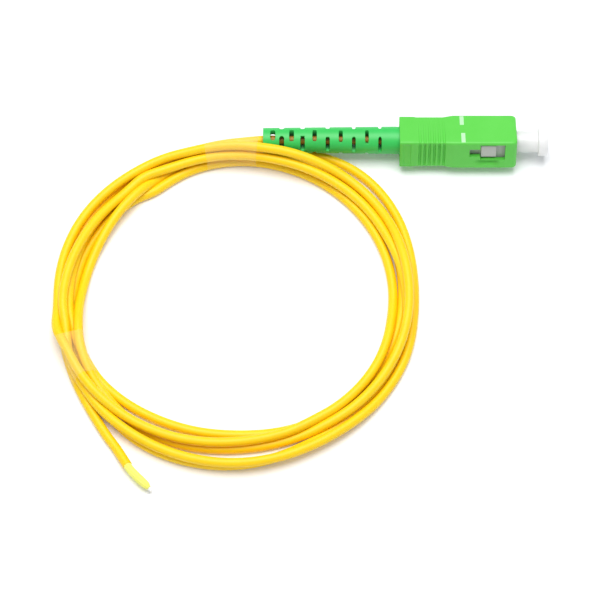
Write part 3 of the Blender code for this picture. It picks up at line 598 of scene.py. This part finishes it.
# Painted shade: from 2.5 mm in towards the axis the green darkens, fully dark green at 1.6 mm.
off_axis = add_node(tree, "ShaderNodeMapping", {
    0: place.outputs["Object"],
    "Location": (0.0, -BOOT_BEND * MM, -AXIS_Z * MM), "Scale": (0.0, 1.0, 1.0)})
deep = add_node(tree, "ShaderNodeVectorMath", {0: off_axis.outputs[0]}, operation="LENGTH")
inner_shade = add_node(tree, "ShaderNodeMapRange", {0: deep.outputs[1], 1: 0.0016, 2: 0.0025})
painted_bore_shade = add_node(tree, "ShaderNodeMix", {
    0: inner_shade.outputs[0], 6: linear("#0E5A2A"), 7: tint.outputs[2]}, data_type="RGBA")
tree.links.new(painted_bore_shade.outputs[2], shader.inputs["Base Color"])
bump = add_node(tree, "ShaderNodeBump", {
    "Height": grain.outputs[0], "Strength": 0.15, "Distance": 0.00005})
tree.links.new(bump.outputs[0], shader.inputs["Normal"])


def soften(piece, width, angle):
    """Round the moulded edges of a piece by a width in millimetres."""
    rounding = piece.modifiers.new("moulded_edges", "BEVEL")
    rounding.width = width * MM
    rounding.segments = 2
    rounding.limit_method = "ANGLE"
    rounding.angle_limit = math.radians(angle)


points, faces = walled(boot_skin(boot_outer_radius), boot_skin(boot_bore), boot_keep)
boot = add_piece("strain_relief_boot", on_axis(points), faces, boot_plastic, "pigtail", 50.0)
soften(boot, 0.09, 50.0)
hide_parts("boot")

# ---- Grip ---------------------------------------------------------------------------------------
# The sliding outer housing that the fingers hold: one shell of glossy PBT, moulded with a lip and
# ribs at the rear, a block at the front, a key below and a stepped latch window in each side.

GRIP_LENGTH, GRIP_HALF_WIDTH, GRIP_HALF_HEIGHT = 25.0, 4.5, 3.7
CORNER_ROUND = 0.5
LIP_RECESS, SILL_RECESS = 0.14, 0.55
SIDE_GROOVE, TOP_GROOVE = 0.42, 0.22
REAR_BORE, BLOCK_HALF_WIDTH, BLOCK_HALF_HEIGHT = 3.35, 3.5, 3.0
GROOVE_CENTRES = -20.7 + 1.033 * np.arange(6)

# One section of the outside, from the bottom of the far side round over the top: a column of
# points up each side, a row along the top and the bottom, and three points on each corner.
side_z = np.array([-3.2, -2.6, -1.95, -1.35, -1.25, -0.3, 0.7, 1.8, 2.5, 3.0, 3.2])
corner_turn = np.radians([22.5, 45.0, 67.5])
corner_y = 4.0 + CORNER_ROUND * np.cos(corner_turn)
corner_z = 3.2 + CORNER_ROUND * np.sin(corner_turn)
top_y = np.array([4.0, 3.0, 2.0, 1.0, 0.0, -1.0, -2.0, -3.0, -4.0])
side_y, top_z = np.full(11, GRIP_HALF_WIDTH), np.full(9, GRIP_HALF_HEIGHT)
section_y = np.concatenate([
    side_y, corner_y, top_y, -corner_y[::-1], -side_y, -corner_y, -top_y, corner_y[::-1]])
section_z = np.concatenate([
    side_z, corner_z, top_z, corner_z[::-1], side_z[::-1], -corner_z, -top_z, -corner_z[::-1]])
grip_x = np.unique(np.round(np.concatenate([
    [-GRIP_LENGTH, -24.92, -24.7, -24.2, -24.1, -22.7, -22.6, -22.0, -21.5],
    np.linspace(-21.3, -15.1, 125),
    [-14.9, -14.2, -13.55, -13.3, -12.5, -11.6, -10.1, -9.0, -7.8, -6.7, -5.6, -4.4, -3.4, -2.5],
    [-1.9, -1.4],
    -1.1 * (1.0 - np.sin(np.linspace(0.0, math.pi / 2, 9))),
]), 4))

# Lip, waist and block: how far the sides and the top stand in along the grip, with the front
# edge rounded.
inset_x = [-GRIP_LENGTH, -24.9, -22.1, -21.4, -15.65, -13.55, 0.0]
side_inset = np.interp(grip_x, inset_x, [0.3, 0.24, 0.24, 0.32, 0.32, 0.0, 0.0])
top_inset = np.interp(grip_x, inset_x, [0.16, 0.1, 0.1, 0.2, 0.2, 0.0, 0.0])
front_turn = np.arcsin(np.clip(1.0 + grip_x / 1.1, 0.0, 1.0))
side_inset += 0.7 * (1.0 - np.cos(front_turn))
top_inset += 0.3 * (1.0 - np.cos(front_turn))

# Grooves between the ribs: full depth on the sides, running out over the corners, sooner on the
# far side. Across the top and the bottom they are shallow, less so at the near edge.
from_groove = np.abs(grip_x[:, None] - GROOVE_CENTRES).min(axis=1)
groove = np.clip((0.3 - from_groove) / 0.14, 0.0, 1.0)
groove = groove * groove * (3.0 - 2.0 * groove)
side_depth = SIDE_GROOVE * np.interp(np.abs(section_z), [2.5, 3.2, 3.7], [1.0, 0.35, 0.0])
far_fade = np.interp(np.abs(section_z), [1.8, 2.8], [1.0, 0.0])
side_depth *= np.where(section_y > 0.0, far_fade, 1.0)
top_depth = TOP_GROOVE * np.interp(section_y, [-4.0, 3.9], [1.0, 0.05])
top_depth *= np.abs(section_z) > 3.6
grip_y = section_y * (1.0 - side_inset[:, None] / GRIP_HALF_WIDTH)
grip_y -= np.sign(section_y) * side_depth * groove[:, None]
grip_z = section_z * (1.0 - top_inset[:, None] / GRIP_HALF_HEIGHT)
grip_z -= np.sign(section_z) * top_depth * groove[:, None]

# A shallow recess in the lip on each side, and a deeper one below each window.
on_side = np.abs(section_y) > 4.49
grid_x = np.repeat(grip_x[:, None], len(section_y), axis=1)
in_lip = (grid_x > -24.15) & (grid_x < -22.65) & on_side & (section_z > -2.7) & (section_z < 3.1)
in_sill = (grid_x > -7.81) & (grid_x < -4.39) & on_side & (section_z > -2.0) & (section_z < -1.3)
grip_y -= np.sign(section_y) * (LIP_RECESS * in_lip + SILL_RECESS * in_sill)

# The inside is round at the rear and a box in front. The windows cut through both.
outer = np.stack([grid_x, grip_y, grip_z], axis=-1)
section = np.stack([section_y, section_z], axis=-1)
round_rear = REAR_BORE * section / np.hypot(section_y, section_z)[:, None]
box_front = np.stack([
    np.clip(section_y, -BLOCK_HALF_WIDTH, BLOCK_HALF_WIDTH),
    np.clip(section_z, -BLOCK_HALF_HEIGHT, BLOCK_HALF_HEIGHT)], axis=-1)
hollow = np.where((grid_x < -21.2)[:, :, None], round_rear, box_front)
inner = np.concatenate([grid_x[:, :, None], hollow], axis=-1)
cell_x = (grip_x[:-1] + grip_x[1:])[:, None] / 2
cell_z = (section_z + np.roll(section_z, -1)) / 2
cell_side = on_side & np.roll(on_side, -1)
main_window = (cell_x > -7.8) & (cell_x < -2.5) & cell_side & (cell_z > -1.25) & (cell_z < 3.0)
narrow_window = (cell_x > -10.1) & (cell_x < -7.8) & cell_side & (cell_z > -0.3) & (cell_z < 1.8)
points, faces = walled(outer, inner, ~(main_window | narrow_window))

# Moulded PBT: an even leaf green with a satin gloss, faint flow marks and a fine grain. Two pale
# bars are printed across the top, told by middle and half size in the connector's own frame.
MARKS = ((-11.65, 2.65, 0.43, 1.35), (-11.47, -2.72, 0.43, 1.45))
green_pbt, tree, shader = new_material("glossy_moulded_green_pbt", "#57C844", 0.44, 1.47)
place = add_node(tree, "ShaderNodeTexCoord", {})
in_frame = add_node(tree, "ShaderNodeMapping", {
    0: place.outputs["Object"],
    "Location": (AXIS_X * MM, 0.0, AXIS_Z * MM), "Rotation": (-ROLL, 0.0, 0.0),
}, vector_type="TEXTURE")
grain = add_node(tree, "ShaderNodeTexNoise", {
    "Vector": place.outputs["Object"], "Scale": 2600.0, "Detail": 3.0})
flow = add_node(tree, "ShaderNodeTexNoise", {
    "Vector": place.outputs["Object"], "Scale": 180.0, "Detail": 3.0})
tint = add_node(tree, "ShaderNodeMix", {
    0: flow.outputs[0], 6: linear("#55C741"), 7: linear("#61CF4F")}, data_type="RGBA")
apart = add_node(tree, "ShaderNodeSeparateXYZ", {0: in_frame.outputs[0]})
marked = None
for mark_x, mark_y, half_x, half_y in MARKS:
    near = []
    for axis, (middle, half_size) in enumerate(((mark_x, half_x), (mark_y, half_y))):
        off = add_node(tree, "ShaderNodeMath", {
            0: apart.outputs[axis], 1: middle * MM}, operation="SUBTRACT")
        far = add_node(tree, "ShaderNodeMath", {0: off.outputs[0]}, operation="ABSOLUTE")
        near.append(add_node(tree, "ShaderNodeMath", {
            0: far.outputs[0], 1: half_size * MM}, operation="LESS_THAN"))
    both = add_node(tree, "ShaderNodeMath", {
        0: near[0].outputs[0], 1: near[1].outputs[0]}, operation="MULTIPLY")
    marked = both if marked is None else add_node(tree, "ShaderNodeMath", {
        0: marked.outputs[0], 1: both.outputs[0]}, operation="ADD")
on_top = add_node(tree, "ShaderNodeMath", {
    0: apart.outputs[2], 1: 3.3 * MM}, operation="GREATER_THAN")
paint = add_node(tree, "ShaderNodeMath", {
    0: marked.outputs[0], 1: on_top.outputs[0]}, operation="MULTIPLY")
coat = add_node(tree, "ShaderNodeMix", {
    0: paint.outputs[0], 6: tint.outputs[2], 7: linear("#B6E5B4")}, data_type="RGBA")
tree.links.new(coat.outputs[2], shader.inputs["Base Color"])
bump = add_node(tree, "ShaderNodeBump", {
    "Height": grain.outputs[0], "Strength": 0.12, "Distance": 0.00005})
tree.links.new(bump.outputs[0], shader.inputs["Normal"])

grip = add_piece("sliding_grip", on_axis(points), faces, green_pbt, "grip", 40.0)
soften(grip, 0.07, 50.0)
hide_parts("outer_housing")

KEY_REAR, KEY_FRONT = -10.7, -2.2
key_section = np.array([(-1.1, -4.55), (1.1, -4.55), (1.1, -3.55), (-1.1, -3.55)])
key_rings = np.array([np.insert(key_section, 0, x, axis=1) for x in (KEY_REAR, KEY_FRONT)])
key_faces = closed_ends(ring_faces(2, 4), 2, 4)
key = add_piece("grip_key", on_axis(key_rings), key_faces, green_pbt, "grip")
soften(key, 0.12, 50.0)

# ---- Dust cap -----------------------------------------------------------------------------------
# A blind sleeve of soft polyethylene that grips the ferrule by friction, with a flange to pull it
# off by. Turned here from one profile of x and radius, from the hollow out to the front.


def turned(profile, sides):
    """Turn a profile of (x, radius) pairs about the connector's axis."""
    profile = np.asarray(profile, dtype=float)
    turn = 2 * math.pi * np.arange(sides) / sides
    x = np.repeat(profile[:, :1], sides, axis=1)
    return np.stack([x, profile[:, 1:] * np.cos(turn), profile[:, 1:] * np.sin(turn)], axis=-1)


CAP_SIDES = 64
CAP_PROFILE = [
    (2.5, 0.05), (2.5, 1.35), (-4.5, 1.35), (-4.5, 2.2), (-4.4, 2.3), (4.55, 2.3), (4.68, 2.36),
    (4.72, 2.5), (4.72, 2.95), (4.8, 3.06), (4.95, 3.1), (6.45, 3.1), (6.62, 3.04), (6.7, 2.9),
    (6.7, 0.4), (6.6, 0.05),
]
# Moulded polyethylene: milky white, light goes a little way in and softens its edges.
cap_plastic, tree, shader = new_material("milky_polyethylene", "#F6F7F5", 0.32, 1.5)
place = add_node(tree, "ShaderNodeTexCoord", {})
haze = add_node(tree, "ShaderNodeTexNoise", {
    "Vector": place.outputs["Object"], "Scale": 1500.0, "Detail": 3.0})
bump = add_node(tree, "ShaderNodeBump", {
    "Height": haze.outputs[0], "Strength": 0.1, "Distance": 0.00006})
tree.links.new(bump.outputs[0], shader.inputs["Normal"])
shader.inputs["Transmission Weight"].default_value = 0.15
shader.inputs["Subsurface Weight"].default_value = 0.6
shader.inputs["Subsurface Radius"].default_value = (0.002, 0.002, 0.002)
shader.inputs["Subsurface Scale"].default_value = 1.0
cap_faces = closed_ends(ring_faces(len(CAP_PROFILE), CAP_SIDES), len(CAP_PROFILE), CAP_SIDES)
cap_points = on_axis(turned(CAP_PROFILE, CAP_SIDES))
cap = add_piece("pull_off_cap", cap_points, cap_faces, cap_plastic, "cap")
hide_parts("dust_cap")

# ---- Plug frame and ferrule ---------------------------------------------------------------------
# The inner body is moulded in off-white PBT and shows through the latch windows. The ferrule is a
# ground zirconia rod, polished at eight degrees. Both keep their solid's own mesh.

# Moulded PBT without a dye: matt off-white, its base colour painted down to a grey as painted shade
# for the grip's shadow over it.
frame_pbt, tree, shader = new_material("matt_off_white_pbt", "#B9BDB6", 0.45, 1.55)
place = add_node(tree, "ShaderNodeTexCoord", {})
grain = add_node(tree, "ShaderNodeTexNoise", {
    "Vector": place.outputs["Object"], "Scale": 1800.0, "Detail": 3.0})
bump = add_node(tree, "ShaderNodeBump", {
    "Height": grain.outputs[0], "Strength": 0.12, "Distance": 0.00006})
tree.links.new(bump.outputs[0], shader.inputs["Normal"])
# Polished ceramic: warm white with a sharp gloss.
zirconia, tree, shader = new_material("polished_zirconia", "#F2F1EA", 0.1, 2.1)
place = add_node(tree, "ShaderNodeTexCoord", {})
haze = add_node(tree, "ShaderNodeTexNoise", {
    "Vector": place.outputs["Object"], "Scale": 900.0, "Detail": 2.0})
tint = add_node(tree, "ShaderNodeMix", {
    0: haze.outputs[0], 6: linear("#EFEDE4"), 7: linear("#F8F7F2")}, data_type="RGBA")
tree.links.new(tint.outputs[2], shader.inputs["Base Color"])
for node_name, finish in (("plug_frame", frame_pbt), ("ferrule", zirconia)):
    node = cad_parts[node_name]
    if not node.material_slots:
        node.data.materials.append(finish)
    for slot in node.material_slots:
        slot.material = finish

# ---- Floor and light ----------------------------------------------------------------------------
# A plain sheet of white paper under one wide soft box, in a white room. The paper gives off a
# little light of its own, as an overexposed white ground does.

paper, tree, shader = new_material("matt_white_paper", "#F7F8FA", 0.85)
place = add_node(tree, "ShaderNodeTexCoord", {})
grain = add_node(tree, "ShaderNodeTexNoise", {
    "Vector": place.outputs["Object"], "Scale": 900.0, "Detail": 3.0})
bump = add_node(tree, "ShaderNodeBump", {
    "Height": grain.outputs[0], "Strength": 0.03, "Distance": 0.0001})
tree.links.new(bump.outputs[0], shader.inputs["Normal"])
shader.inputs["Emission Color"].default_value = linear("#FBFCFF")
shader.inputs["Emission Strength"].default_value = 0.05
floor_mesh = bpy.data.meshes.new("paper_floor")
floor_mesh.from_pydata([(-3, -3, 0), (3, -3, 0), (3, 3, 0), (-3, 3, 0)], [], [(0, 1, 2, 3)])
floor_mesh.materials.append(paper)
floor = bpy.data.objects.new("paper_floor", floor_mesh)
bpy.context.collection.objects.link(floor)

world = bpy.data.worlds.new("white_room")
world.use_nodes = True
background = world.node_tree.nodes["Background"]
background.inputs["Color"].default_value = linear("#FBFCFF")
background.inputs["Strength"].default_value = 0.46
bpy.context.scene.world = world

SOFTBOX_PLACE = Vector((-0.05, 0.08, 0.75))
lamp_data = bpy.data.lights.new("overhead_softbox", "AREA")
lamp_data.size = 0.58
lamp_data.energy = 6.1
lamp = bpy.data.objects.new("overhead_softbox", lamp_data)
bpy.context.collection.objects.link(lamp)
lamp.location = SOFTBOX_PLACE
lamp.rotation_euler = (VIEW_TARGET - SOFTBOX_PLACE).to_track_quat("-Z", "Y").to_euler()
